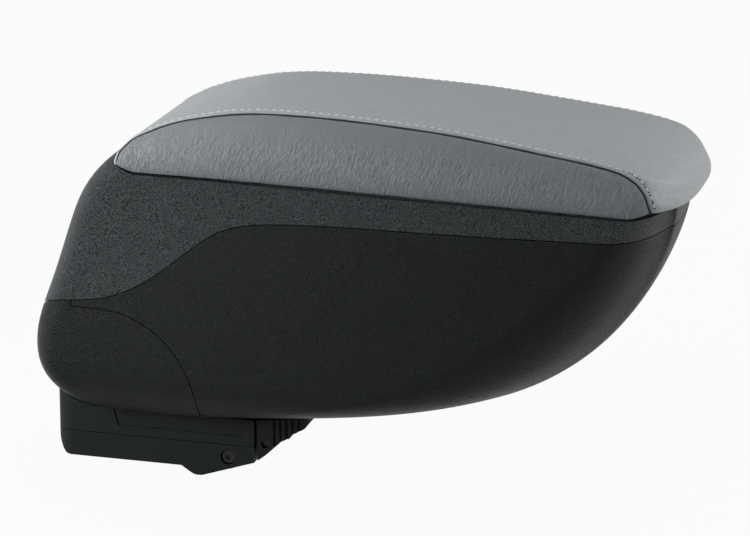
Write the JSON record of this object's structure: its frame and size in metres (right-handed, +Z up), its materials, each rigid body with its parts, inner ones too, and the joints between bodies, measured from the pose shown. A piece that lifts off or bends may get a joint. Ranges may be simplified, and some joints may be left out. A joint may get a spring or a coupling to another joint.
{
  "type": "car centre armrest",
  "caption": "Padded car centre armrest: a boat-shaped storage box under a hinged grey leatherette lid, tilting on a low foot that has a ribbed release lever.",
  "frame": {"origin": "centre of the four tapped holes under the base, on the plane of the seat", "axes": "+X forward to the nose of the lid, +Y to the left, +Z up"},
  "size_m": [0.3367, 0.1214, 0.1998],
  "materials": {
    "leatherette": "fine grained grey leatherette",
    "foam": "open-cell foam",
    "grained_plastic": "coarse spark grain",
    "smooth_plastic": "fine matte",
    "lever_plastic": "ribbed matte",
    "inner_plastic": "plain moulded",
    "rubber": "matte",
    "steel": "zinc plated",
    "cast_aluminium": "as cast"
  },
  "bodies": {
    "base": {"base_lower_shell": "smooth_plastic", "base_upper_shell": "smooth_plastic", "knuckle_bracket": "cast_aluminium", "base_screws": "steel", "side_screws": "steel", "stop_pad": "rubber", "lever_pin": "steel"},
    "lever": {"release_lever": "lever_plastic", "lever_spring": "steel"},
    "arm": {"rear_housing": "smooth_plastic", "lower_casing": "smooth_plastic", "upper_frame": "grained_plastic", "tilt_axle": "steel", "axle_clamps": "inner_plastic", "clamp_screws": "steel", "friction_washers": "inner_plastic", "disc_springs": "steel", "bulkhead_screws": "steel", "frame_screws": "steel", "floor_mat": "rubber", "lid_bumpers": "rubber", "hinge_pin": "steel"},
    "lid": {"lid_board": "inner_plastic", "cushion_foam": "foam", "cushion_top_cover": "leatherette", "cushion_side_cover_left": "leatherette", "cushion_side_cover_right": "leatherette"}
  },
  "joints": [
    {"name": "tilt", "type": "hinge", "parent": "base", "child": "arm", "pos_m": [-0.013, 0, 0.0625], "axis": [0, -1, 0], "range_deg": [0, 80]},
    {"name": "lid_hinge", "type": "hinge", "parent": "arm", "child": "lid", "pos_m": [0.0047, 0, 0.1617], "axis": [0, -1, 0], "range_deg": [0, 75]},
    {"name": "release", "type": "hinge", "parent": "base", "child": "lever", "pos_m": [0.0745, 0, 0.015], "axis": [0, 1, 0], "range_deg": [0, 6], "stiffness_Nm_per_rad": 0.5, "springref_deg": -5.73}
  ]
}
